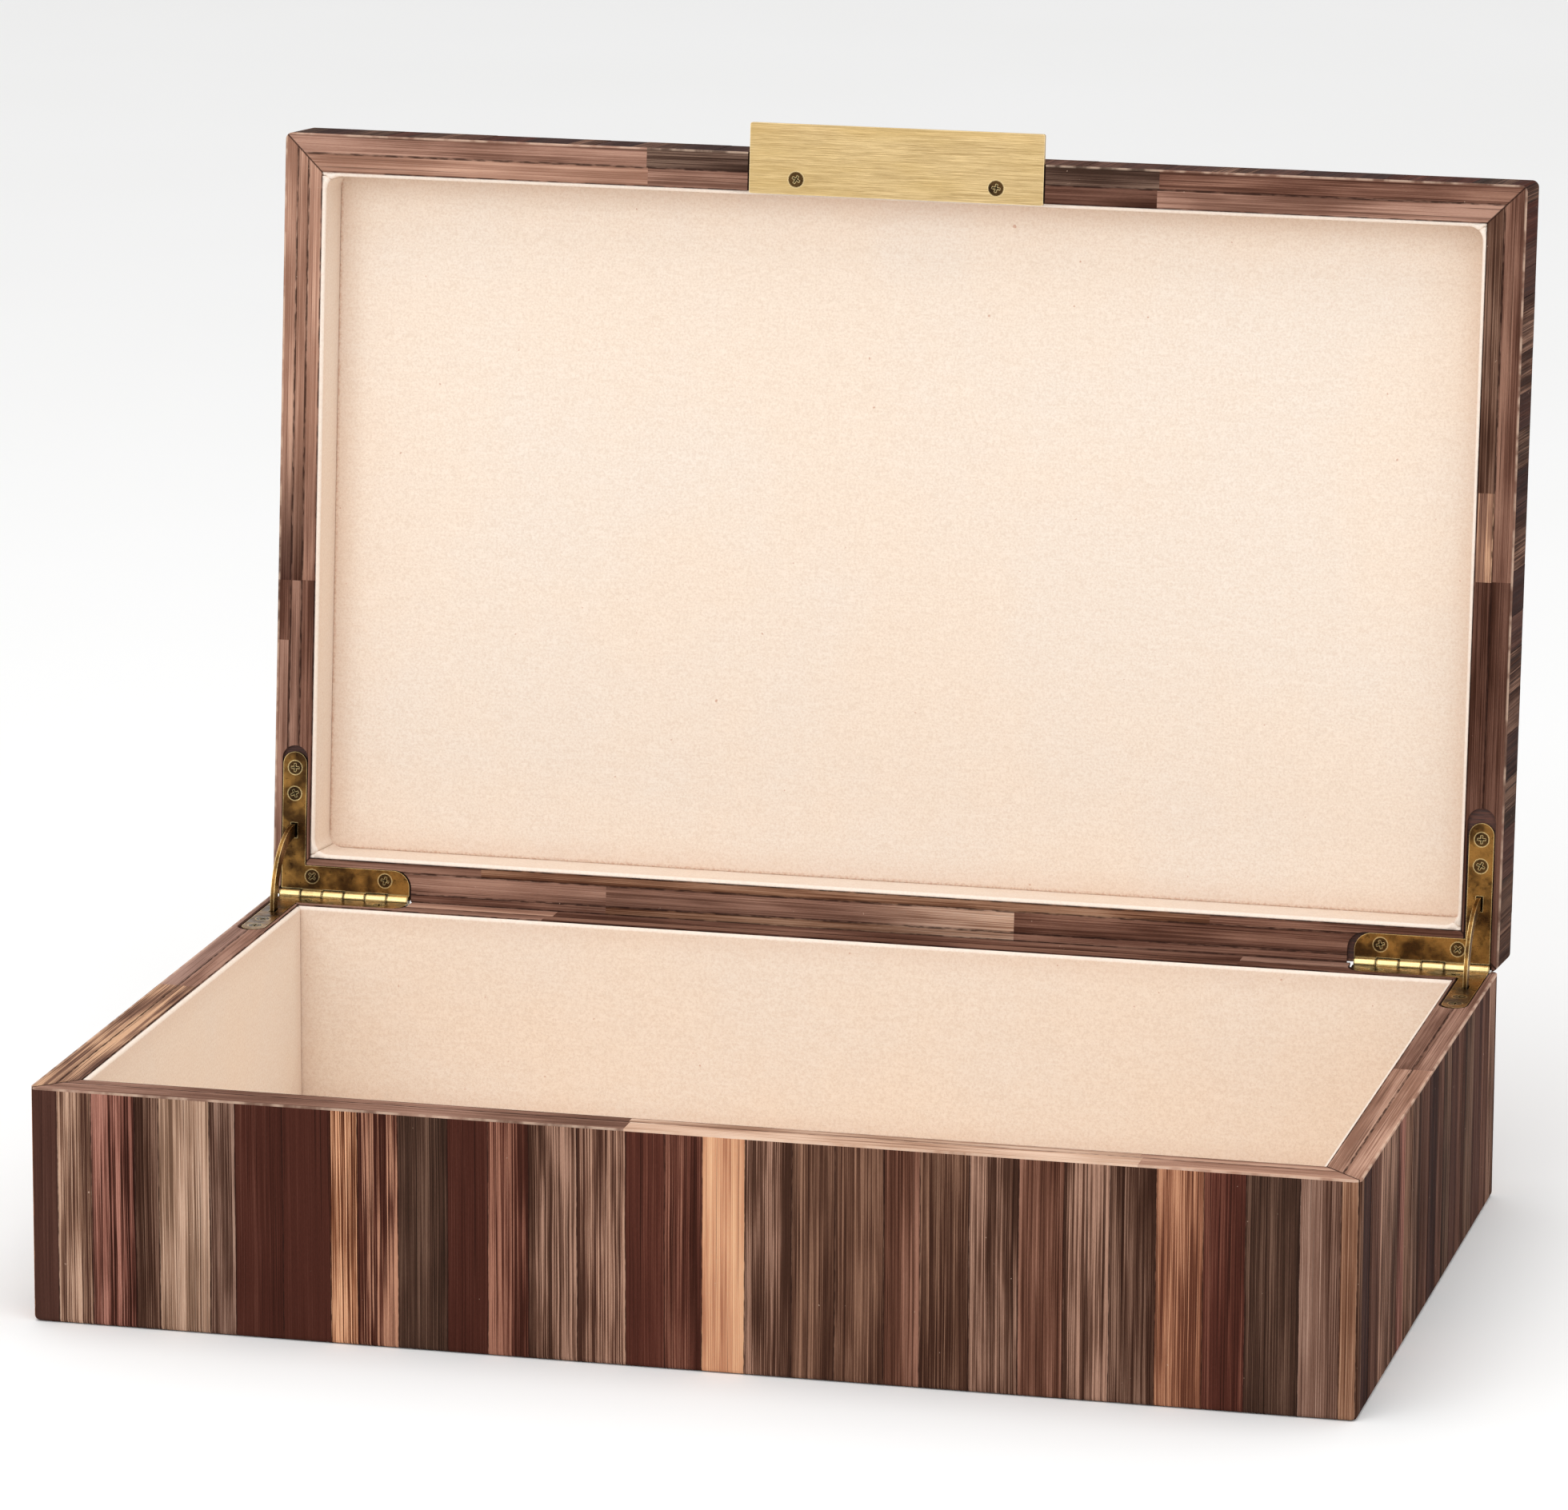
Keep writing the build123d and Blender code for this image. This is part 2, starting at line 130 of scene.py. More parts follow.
# Suede lining: how full it is, how it turns over its edges, rounds the corners of the lid, dips towards
# its borders and is uneven elsewhere, and how clear it stays of the tab
LINING_TURN = 0.8
MOST_TURN_SHARE = 0.8
LID_CORNER_RADIUS = 4.0
CORNER_OVERLAP = 0.15
CREASE_ROUNDING = 0.12
PANEL_DIP = 0.35
PANEL_DIP_REACH = 2.6
SUEDE_UNEVENNESS = 0.07
UNEVENNESS_LENGTH = 17.0
FINER_UNEVENNESS = 0.5
FINER_STEPS = 2.7
BORDER_CALM = 3.0
THINNEST_SUEDE = 0.05
TAB_NOTCH_CLEARANCE = 0.25

# Camera, measured from the middle of the box's underside
LENS = 197.94
CAMERA_PLACE = Vector((533.3, -2196.0, 663.9))
CAMERA_RIGHT = Vector((0.9715, 0.2371, 0.0047))
CAMERA_DOWN = Vector((0.0580, -0.2182, -0.9742))
CAMERA_FORWARD = Vector((-0.2300, 0.9467, -0.2257))

BACKDROP_STRENGTH = 0.86


# ---------------------------------------------------------------- colours


def rgb(red, green, blue):
    """A screen colour, 0 to 255, as a linear colour."""

    def linear(value):
        value /= 255
        return value / 12.92 if value <= 0.04045 else ((value + 0.055) / 1.055) ** 2.4

    return (linear(red), linear(green), linear(blue), 1.0)


# Each dye bath: the colour of most fibres, of those that took least dye, and of those that took most
DYES = {
    "maroon": (rgb(74, 40, 32), rgb(106, 66, 55), rgb(56, 30, 24)),
    "oxblood": (rgb(84, 46, 37), rgb(120, 76, 62), rgb(56, 30, 24)),
    "wine": (rgb(80, 52, 44), rgb(100, 70, 60), rgb(60, 38, 32)),
    "copper": (rgb(98, 57, 46), rgb(164, 114, 94), rgb(60, 32, 25)),
    "ember": (rgb(96, 56, 44), rgb(186, 136, 110), rgb(54, 28, 22)),
    "rose": (rgb(122, 76, 64), rgb(176, 124, 108), rgb(52, 28, 22)),
    "honey": (rgb(150, 98, 70), rgb(226, 174, 136), rgb(80, 44, 30)),
    "gold": (rgb(202, 150, 116), rgb(224, 180, 142), rgb(156, 104, 78)),
    "pink_honey": (rgb(146, 96, 72), rgb(196, 144, 112), rgb(92, 54, 40)),
    "beige": (rgb(158, 126, 105), rgb(198, 166, 144), rgb(104, 78, 62)),
    "sand": (rgb(136, 102, 83), rgb(194, 160, 137), rgb(72, 47, 38)),
    "tan": (rgb(146, 107, 84), rgb(184, 146, 120), rgb(98, 63, 46)),
    "olive": (rgb(88, 61, 49), rgb(140, 107, 90), rgb(56, 35, 27)),
    "charcoal": (rgb(76, 53, 43), rgb(118, 90, 75), rgb(48, 33, 26)),
    "slate": (rgb(106, 75, 61), rgb(172, 134, 114), rgb(62, 40, 31)),
    "plum": (rgb(60, 39, 35), rgb(82, 57, 50), rgb(42, 26, 22)),
    "mauve": (rgb(121, 90, 76), rgb(168, 136, 119), rgb(68, 45, 36)),
    "taupe": (rgb(125, 90, 74), rgb(190, 150, 127), rgb(68, 43, 34)),
    "umber": (rgb(97, 67, 53), rgb(150, 113, 92), rgb(62, 39, 30)),
    "moss": (rgb(98, 69, 56), rgb(138, 106, 89), rgb(62, 40, 31)),
    "russet": (rgb(104, 68, 54), rgb(150, 108, 90), rgb(64, 38, 29)),
    "soot": (rgb(94, 72, 62), rgb(128, 104, 90), rgb(62, 45, 37)),
    "ash": (rgb(122, 98, 92), rgb(166, 138, 128), rgb(92, 70, 65)),
    "clay": (rgb(150, 113, 97), rgb(180, 142, 124), rgb(112, 80, 67)),
    "dusk": (rgb(162, 129, 116), rgb(184, 150, 136), rgb(136, 104, 92)),
    "fawn": (rgb(178, 138, 118), rgb(206, 166, 144), rgb(146, 108, 90)),
    "shell": (rgb(210, 174, 150), rgb(238, 208, 186), rgb(160, 122, 100)),
    "gilt": (rgb(154, 116, 95), rgb(230, 186, 150), rgb(98, 70, 60)),
    "bark": (rgb(122, 86, 72), rgb(156, 117, 99), rgb(86, 56, 45)),
    "walnut": (rgb(90, 60, 49), rgb(118, 84, 71), rgb(62, 38, 29)),
}

# The dye of each strip, and how unevenly its fibres took it: from left to right on the front, and from
# front to back on the right side
FRONT_DYES = (
    ("wine", 0.2), ("sand", 0.8), ("rose", 0.75), ("olive", 0.65), ("beige", 0.6), ("mauve", 0.7),
    ("maroon", 0.25), ("maroon", 0.12), ("honey", 0.85), ("ember", 0.75), ("charcoal", 0.4), ("maroon", 0.2),
    ("copper", 0.6), ("slate", 0.75), ("taupe", 0.75), ("oxblood", 0.2), ("copper", 0.4), ("gold", 0.4),
    ("slate", 0.65), ("umber", 0.45), ("umber", 0.45), ("russet", 0.45), ("umber", 0.65), ("slate", 0.6),
    ("russet", 0.4), ("slate", 0.6), ("olive", 0.6), ("pink_honey", 0.65), ("oxblood", 0.4),
    ("charcoal", 0.4), ("mauve", 0.35), ("tan", 0.4),
)
RIGHT_DYES = (
    ("umber", 0.8), ("plum", 0.5), ("walnut", 0.8), ("slate", 0.9), ("slate", 1.0), ("rose", 0.8),
    ("umber", 0.9), ("olive", 1.0), ("walnut", 0.6), ("plum", 0.9), ("walnut", 0.9), ("charcoal", 0.9),
    ("wine", 0.8), ("walnut", 0.9), ("charcoal", 0.9), ("wine", 0.8), ("walnut", 0.6), ("slate", 0.9),
)
DARK_DYES = ("plum", "wine", "charcoal", "walnut", "maroon", "olive")
ALL_DYES = (
    "maroon", "wine", "ember", "rose", "honey", "beige", "olive", "mauve", "taupe", "umber", "moss", "slate",
    "charcoal", "russet", "gold", "taupe", "mauve", "pink_honey", "copper", "oxblood", "sand", "umber",
)

# A place beyond either end of any side
END = 1000.0

# Rim dyes: for each row, from the outside in, where along the side each run ends and its dye, and for
# some runs the dye that they turn to at their far end
BASE_RIM_DYES = {
    "front": (
        ((-16, "clay"), (120, "shell"), (END, "fawn")),
        ((-16, "clay"), (120, "shell"), (END, "fawn")),
    ),
    "back": (
        ((-93, "fawn"), (106, "bark"), (END, "clay")),
        ((-93, "clay"), (106, "bark"), (END, "bark")),
    ),
    "left": (
        ((2, "gilt"), (END, "dusk")),
        ((2, "gilt"), (END, "clay")),
    ),
    "right": (
        ((0.7, "fawn"), (END, "clay")),
        ((0.7, "fawn"), (END, "clay")),
    ),
}
LID_RIM_DYES = {
    "front": (
        ((-72, "clay"), (75, "soot"), (END, "bark")),
        ((-72, "fawn"), (0, "clay"), (75, "walnut"), (END, "clay")),
    ),
    "back": (
        ((-79, "bark"), (40, "tan", "shell"), (END, "bark")),
        ((-79, "clay"), (40, "clay", "shell"), (END, "bark")),
        ((-116, "clay"), (96, "tan"), (END, "bark")),
    ),
    "left": (
        ((18, "fawn", "wine"), (36, "bark"), (END, "clay")),
        ((18, "fawn", "walnut"), (END, "clay")),
        ((18, "fawn", "bark"), (END, "bark")),
    ),
    "right": (
        ((0.6, "bark"), (END, "walnut")),
        ((-24, "moss"), (0.6, "gilt"), (END, "walnut")),
    ),
}

# Each side of the box: the direction along it, and the direction it faces
SIDES = {
    "front": (Vector((1, 0, 0)), Vector((0, -1, 0))),
    "back": (Vector((1, 0, 0)), Vector((0, 1, 0))),
    "left": (Vector((0, 1, 0)), Vector((-1, 0, 0))),
    "right": (Vector((0, 1, 0)), Vector((1, 0, 0))),
}
UP = Vector((0, 0, 1))


# ---------------------------------------------------------------- mesh helpers


def key_of(point):
    """A point to the nearest thousandth, so that the corners of neighbouring faces are one and the same."""
    return tuple(round(c, 3) for c in point)


def solids_of(node, home):
    """The closed solids of a CAD node, each as a list of polygons of points in home coordinates."""
    mesh = nodes[node].data
    points = [home @ (v.co / MM) for v in mesh.vertices]
    keys = [key_of(p) for p in points]
    solids, current, open_edges = [], [], set()
    for polygon in mesh.polygons:
        ring = list(polygon.vertices)
        current.append([points[i] for i in ring])
        for a, b in zip(ring, ring[1:] + ring[:1]):
            edge = (keys[a], keys[b])
            if edge[::-1] in open_edges:
                open_edges.remove(edge[::-1])
            else:
                open_edges.add(edge)
        if not open_edges:
            solids.append(current)
            current = []
    return solids


def welded(polygons):
    """One solid as a bmesh, with its flat faces whole."""
    bm = bmesh.new()
    made = {}
    for polygon in polygons:
        ring = []
        for point in polygon:
            key = key_of(point)
            if key not in made:
                made[key] = bm.verts.new(point)
            ring.append(made[key])
        if len(set(ring)) == len(ring) and not bm.faces.get(ring):
            bm.faces.new(ring)
    bmesh.ops.dissolve_limit(bm, angle_limit=FLAT_ANGLE, verts=bm.verts, edges=bm.edges)
    return bm


def cut_along(bm, direction, start, end, spacing):
    """Cuts across a strip at even steps along it, so that it can bend."""
    count = max(1, round((end - start) / spacing))
    for i in range(1, count):
        place = direction * (start + (end - start) * i / count)
        geometry = [*bm.verts, *bm.edges, *bm.faces]
        bmesh.ops.bisect_plane(bm, geom=geometry, dist=1e-4, plane_co=place, plane_no=direction)


def span(points, direction):
    """The least and the greatest distance of the points along a direction."""
    values = [p.dot(direction) for p in points]
    return min(values), max(values)


def solid_span(polygons, direction):
    return span([p for polygon in polygons for p in polygon], direction)


def centre_along(polygons, direction):
    return sum(solid_span(polygons, direction)) / 2


# How a point attribute is stored, by how many numbers each point has
ATTRIBUTE_KINDS = {1: ("FLOAT", "value"), 3: ("FLOAT_VECTOR", "vector"), 4: ("FLOAT_COLOR", "color")}


class Piece:
    """Gathers solids into one mesh with point attributes, then makes it an object that rides on a body."""

    def __init__(self, name, body, slot, replaced):
        self.name, self.body, self.slot, self.replaced = name, body, slot, replaced
        self.points, self.faces = [], []
        self.values = {}

    def add(self, points, faces, values):
        first = len(self.points)
        self.points += points
        self.faces += [[first + i for i in face] for face in faces]
        for key, rows in values.items():
            self.values.setdefault(key, []).extend(rows)

    def finish(self, home, material, rounding=None):
        to_row = home.inverted()
        mesh = bpy.data.meshes.new(self.name)
        mesh.from_pydata([to_row @ p * MM for p in self.points], [], self.faces)
        for key, rows in self.values.items():
            kind, field = ATTRIBUTE_KINDS[len(rows[0])]
            layer = mesh.attributes.new(key, kind, "POINT")
            layer.data.foreach_set(field, [x for row in rows for x in row])
        mesh.materials.append(material)
        mesh.shade_smooth()
        mesh.update()
        obj = bpy.data.objects.new(self.name, mesh)
        bpy.context.scene.collection.objects.link(obj)
        if rounding:
            soften(obj, rounding)
        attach(obj, self.body)
        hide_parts(self.replaced)
        return obj


def soften(obj, width):
    """Rounds the sharp edges of a piece a little."""
    bevel = obj.modifiers.new("Rounding", "BEVEL")
    bevel.width = width * MM
    bevel.segments = 2
    bevel.limit_method = "ANGLE"
    bevel.angle_limit = SHARP_ANGLE
    bevel.harden_normals = True


# ---------------------------------------------------------------- straw


def wave(point, across, box_half):
    """How far the joint between two strips strays sideways at a point. It is straight near a corner."""
    reach = box_half - abs(point.dot(across))
    calm = min(1.0, max(0.0, (reach - CORNER_STRAIGHT) / CORNER_CALM))
    stray = noise(point / WAVE_LENGTH) + SMALLER_WAVE * noise(point / SMALLER_WAVE_LENGTH)
    return across * (WAVE * calm * stray)


def add_straw(piece, polygons, axes, box_half, dye, streaks, rng, wavy, painted_shade=1.0,
              proud=(-PROUD, PROUD), end_dye=None):
    """One strip of straw: cut, bent, set a hair higher or lower than its neighbours, and dyed.

    axes are the directions across it, along it and outward. Its dye may turn to another one, end_dye,
    over the last stretch of it. The point attributes are fibre (place across and along, and a number of
    its own), figure (half its width, how streaky it is, and its lean) and at_home (the unbent point).
    """
    across, along, outward = axes
    bm = welded(polygons)
    corners = [v.co.copy() for v in bm.verts]
    start, end = span(corners, along)
    low, high = span(corners, across)
    cut_along(bm, along, start, end, CUT_SPACING)
    bm.normal_update()
    outer = span(corners, outward)[1]
    lift = rng.uniform(*proud)
    seed = rng.uniform(0, 500)
    tilt = rng.uniform(-1, 1)
    # The shade factor darkens a rim's dyes as painted shade; the random tint is the straw's own
    tint = painted_shade * rng.uniform(*TINT_RANGE)
    first_dye, last_dye = [[Vector(c[:3]) * tint for c in DYES[bath]] for bath in (dye, end_dye or dye)]
    middle, half = (low + high) / 2, (high - low) / 2
    points, fibre, figure, at_home = [], [], [], []
    coats = {"dye_main": [], "dye_streak": [], "dye_dark": []}
    bm.verts.index_update()
    for v in bm.verts:
        fibre.append((v.co.dot(across) - middle, v.co.dot(along), seed))
        figure.append((half, streaks, tilt))
        at_home.append(tuple(v.co))
        nearness = min(1.0, max(0.0, 1 - (end - v.co.dot(along)) / END_TURN_LENGTH))
        for coat, first, last in zip(coats.values(), first_dye, last_dye):
            coat.append((*first.lerp(last, nearness), 1.0))
        moved = v.co.copy()
        if wavy:
            moved += wave(v.co, across, box_half)
        if outer - v.co.dot(outward) < FLUSH:
            moved += outward * lift
        points.append(moved)
    faces = [[v.index for v in face.verts] for face in bm.faces]
    piece.add(points, faces, {"fibre": fibre, "figure": figure, "at_home": at_home, **coats})
    bm.free()


def marquetry(body, side, dyes, material, seed):
    """The strips on one outer face of the base or the lid."""
    name = f"{body}_{side}_marquetry"
    home = BODY_HOMES[body]
    if side == "top":
        across, along, outward = SIDES["front"][0], SIDES["left"][0], UP
    else:
        across, outward = SIDES[side]
        along = UP
    solids = sorted(solids_of(name, home), key=lambda s: centre_along(s, across))
    edge = max(solid_span(s, across)[1] for s in solids)
    piece = Piece(f"{body}_{side}_straw", body, "dyed_straw", name)
    rng = random.Random(seed)
    for polygons, (dye, streaks) in zip(solids, dyes):
        add_straw(piece, polygons, (across, along, outward), edge, dye, streaks, rng, wavy=True)
    piece.finish(home, material, edge_rounding(side))


def edge_rounding(side):
    """Edges are crisp at the back, where the base and the lid all but touch."""
    return BACK_EDGE_ROUNDING if side == "back" else STRIP_EDGE_ROUNDING


def with_lip(polygons, facing, edge):
    """The lid's back edge reaches a little past its skin, so that no light shows between lid and base."""
    return [
        [p + facing * BACK_LIP if edge - p.dot(facing) < BACK_LIP_REACH else p for p in ring]
        for ring in polygons
    ]


def rim(body, side, rows, material, seed, painted_shade):
    """The rows of straw along one side of a rim. rows lists their dyes, from the outside in."""
    name = f"{body}_{side}_rim_inlay"
    home = BODY_HOMES[body]
    along, facing = SIDES[side]
    outward = UP if body == "base" else -UP
    solids = sorted(solids_of(name, home), key=lambda s: centre_along(s, along))
    edges = sorted({round(solid_span(s, facing)[1], 1) for s in solids}, reverse=True)
    row_edges = [edges[0]]
    for edge in edges[1:]:
        if row_edges[-1] - edge > NARROWEST_ROW:
            row_edges.append(edge)
    proud = (-PROUD, PROUD)
    if side == "back":
        proud = (PROUD, PROUD) if body == "base" else (0, 0)
    if (body, side) == ("lid", "back"):
        solids = [with_lip(polygons, facing, edges[0]) for polygons in solids]
    piece = Piece(f"{body}_{side}_rim_straw", body, "rim_straw", name)
    rng = random.Random(seed)
    for polygons in solids:
        place = solid_span(polygons, facing)[1]
        nearest = min(range(len(row_edges)), key=lambda i: abs(row_edges[i] - place))
        row = rows[min(nearest, len(rows) - 1)]
        middle = centre_along(polygons, along)
        dye, *end_dye = next(dyes for end, *dyes in row if middle < end)
        add_straw(
            piece, polygons, (facing, along, outward), edges[0], dye, RIM_STREAKS, rng,
            wavy=False, painted_shade=painted_shade, proud=proud, end_dye=end_dye[0] if end_dye else None,
        )
    piece.finish(home, material, edge_rounding(side))


# ---------------------------------------------------------------- lining


def stations(start, end, fine=0.45, growth=0.25, coarse=7.0, border=4.5):
    """Places from start to end: fine steps that grow within a border at both ends, coarse ones between."""
    places = []
    offset = 0.0
    while offset < border:
        places.append(offset)
        offset += fine + offset * growth
    length = end - start
    inner = length - 2 * border
    count = max(1, round(inner / coarse))
    middle = [border + inner * i / count for i in range(count + 1)]
    return [start + p for p in places + middle] + [end - p for p in reversed(places)]


def slab_faces(columns, rows):
    """The faces of a slab whose points are a front grid and then a back one, closed around the border."""
    front_count = columns * rows
    faces = []
    for j in range(rows - 1):
        for i in range(columns - 1):
            a = j * columns + i
            quad = [a, a + 1, a + 1 + columns, a + columns]
            faces.append(quad)
            faces.append([front_count + k for k in reversed(quad)])
    border = list(range(columns))
    border += [j * columns + columns - 1 for j in range(1, rows)]
    border += [(rows - 1) * columns + i for i in range(columns - 2, -1, -1)]
    border += [j * columns for j in range(rows - 2, 0, -1)]
    for a, b in zip(border, border[1:] + border[:1]):
        faces.append([b, a, front_count + a, front_count + b])
    return faces


def corner_fill(distance):
    """How far the suede stands off a wall as it rounds an inner corner of the lid at a distance from it."""
    if distance <= 0 or distance >= LID_CORNER_RADIUS:
        return 0.0
    arc = LID_CORNER_RADIUS - sqrt(LID_CORNER_RADIUS ** 2 - (LID_CORNER_RADIUS - distance) ** 2)
    return min(arc, distance + CORNER_OVERLAP)


def lining(body, part, material, crowned=False, notch=None):
    """A suede-covered panel: flat at the back, turned over at its edges, and uneven as cloth over card is.

    A crowned one falls away towards its borders. notch says how low the panel may reach at each place
    along it. The point attributes are seam, the distance from the nearest edge, and turned, the distance
    from the edge at the rim.
    """
    name = f"{body}_{part}_lining"
    home = BODY_HOMES[body]
    corners = [home @ (v.co / MM) for v in nodes[name].data.vertices]
    low = Vector([min(p[i] for p in corners) for i in range(3)])
    high = Vector([max(p[i] for p in corners) for i in range(3)])
    thin = min(range(3), key=lambda i: high[i] - low[i])
    u_axis, v_axis = [i for i in range(3) if i != thin]
    thickness = high[thin] - low[thin]
    upright = thin != 2
    if upright:
        inward = 1 if low[thin] < 0 else -1
    else:
        inward = 1 if body == "base" else -1
    back = low[thin] if inward > 0 else high[thin]
    rounded = upright and body == "lid"
    # The side linings stand in front of the ends of the front and back ones
    hidden_end = thickness if part in ("front", "back") else 0.0
    us = stations(low[u_axis], high[u_axis])
    vs = stations(low[v_axis], high[v_axis])
    piece = Piece(f"{body}_{part}_suede", body, "suede_lining", name)

    def place(u, v, depth):
        point = Vector((0, 0, 0))
        point[u_axis], point[v_axis], point[thin] = u, v, back + inward * depth
        return point

    def from_rim(v):
        return v - vs[0] if body == "lid" else vs[-1] - v

    def from_end(u):
        return min(u - us[0], us[-1] - u)

    def edge_distance(u, v):
        across = min(v - vs[0], vs[-1] - v)
        return across if rounded else min(from_end(u), across)

    def height(u, v):
        near = edge_distance(u, v)
        drop = PANEL_DIP * exp(-near / PANEL_DIP_REACH) if crowned else 0.0
        radius = min(LINING_TURN, thickness * MOST_TURN_SHARE) if upright else CREASE_ROUNDING
        if near < radius:
            drop += radius - sqrt(max(0.0, radius ** 2 - (radius - near) ** 2))
        spot = place(u, v, 0) / UNEVENNESS_LENGTH
        waviness = noise(spot) + FINER_UNEVENNESS * noise(spot * FINER_STEPS) - 1
        uneven = SUEDE_UNEVENNESS * waviness * min(1, near / BORDER_CALM)
        fill = corner_fill(from_end(u) - hidden_end) if rounded else 0.0
        return max(THINNEST_SUEDE, thickness - drop + uneven + fill)

    points, seam, turned = [], [], []
    for depth in (height, lambda u, v: 0.0):
        for v in vs:
            for u in us:
                edge = max(v, notch(u)) if notch else v
                points.append(place(u, edge, depth(u, v)))
                seam.append((edge_distance(u, v),))
                turned.append((from_rim(v),))
    piece.add(points, slab_faces(len(us), len(vs)), {"seam": seam, "turned": turned})
    obj = piece.finish(home, material)
    bm = bmesh.new()
    bm.from_mesh(obj.data)
    bmesh.ops.recalc_face_normals(bm, faces=bm.faces)
    bm.to_mesh(obj.data)
    bm.free()


# ---------------------------------------------------------------- material helpers


class Shader:
    """A material's nodes, with a short call for each kind that is used here."""

    def __init__(self, name):
        self.material = bpy.data.materials.new(name)
        self.material.use_nodes = True
        self.tree = self.material.node_tree
        self.surface = self.tree.nodes["Principled BSDF"]

    def node(self, kind, **settings):
        made = self.tree.nodes.new(kind)
        for key, value in settings.items():
            setattr(made, key, value)
        return made

    def feed(self, socket, value):
        if isinstance(value, bpy.types.NodeSocket):
            self.tree.links.new(value, socket)
        else:
            socket.default_value = value

    def attribute(self, name, output="Vector"):
        return self.node("ShaderNodeAttribute", attribute_name=name).outputs[output]

    def split(self, vector):
        made = self.node("ShaderNodeSeparateXYZ")
        self.feed(made.inputs[0], vector)
        return made.outputs

    def join(self, x, y, z):
        made = self.node("ShaderNodeCombineXYZ")
        for socket, value in zip(made.inputs, (x, y, z)):
            self.feed(socket, value)
        return made.outputs[0]

    def math(self, operation, a, b=0.0, clamp=False):
        made = self.node("ShaderNodeMath", operation=operation, use_clamp=clamp)
        self.feed(made.inputs[0], a)
        self.feed(made.inputs[1], b)
        return made.outputs[0]

    def scaled(self, vector, factors):
        made = self.node("ShaderNodeVectorMath", operation="MULTIPLY")
        self.feed(made.inputs[0], vector)
        self.feed(made.inputs[1], factors)
        return made.outputs[0]

    def noise(self, vector, scale=1.0, detail=2.0, roughness=0.5, distortion=0.0):
        made = self.node("ShaderNodeTexNoise")
        self.feed(made.inputs["Vector"], vector)
        made.inputs["Scale"].default_value = scale
        made.inputs["Detail"].default_value = detail
        made.inputs["Roughness"].default_value = roughness
        made.inputs["Distortion"].default_value = distortion
        return made.outputs[0]

    def fade(self, value, start, end, low=0.0, high=1.0):
        """value moved from the range start..end to low..high, smoothly and no further."""
        made = self.node("ShaderNodeMapRange", interpolation_type="SMOOTHSTEP")
        for socket, number in zip(made.inputs, (value, start, end, low, high)):
            self.feed(socket, number)
        return made.outputs[0]

    def mix(self, share, a, b, blend="MIX"):
        made = self.node("ShaderNodeMix", data_type="RGBA", blend_type=blend)
        self.feed(made.inputs[0], share)
        self.feed(made.inputs[6], a)
        self.feed(made.inputs[7], b)
        return made.outputs[2]

    def bump(self, height, distance, strength=1.0):
        made = self.node("ShaderNodeBump")
        made.inputs["Strength"].default_value = strength
        made.inputs["Distance"].default_value = distance * MM
        self.feed(made.inputs["Height"], height)
        return made.outputs[0]

    def place_mm(self):
        coordinates = self.node("ShaderNodeTexCoord").outputs["Object"]
        return self.scaled(coordinates, (1000, 1000, 1000))

    def crevice_shade(self, reach):
        """1 in corners and slots narrower than reach, 0 in the open; it masks painted shade."""
        made = self.node("ShaderNodeAmbientOcclusion", samples=6)
        made.inputs["Distance"].default_value = reach * MM
        return self.fade(made.outputs["AO"], 0.85, 0.35)

    def worn_and_lit_edges(self, radius):
        """1 at edges and corners, 0 on flat faces; it masks rubbed bright edges that also stand in for
        painted highlights.
        """
        rounded = self.node("ShaderNodeBevel", samples=6)
        rounded.inputs["Radius"].default_value = radius * MM
        normal = self.node("ShaderNodeNewGeometry").outputs["Normal"]
        facing = self.node("ShaderNodeVectorMath", operation="DOT_PRODUCT")
        self.feed(facing.inputs[0], rounded.outputs[0])
        self.feed(facing.inputs[1], normal)
        return self.fade(facing.outputs["Value"], 0.995, 0.9)

    def set(self, **sockets):
        for name, value in sockets.items():
            self.feed(self.surface.inputs[name.replace("_", " ")], value)


# ---------------------------------------------------------------- materials


DEEPEST_DYE = rgb(30, 18, 15)
JOINT_DARK = rgb(42, 26, 22)
MITRE_DARK = rgb(36, 22, 19)
RUBBED_STRAW = rgb(222, 194, 172)
STRAW_SPECK = rgb(200, 170, 150)


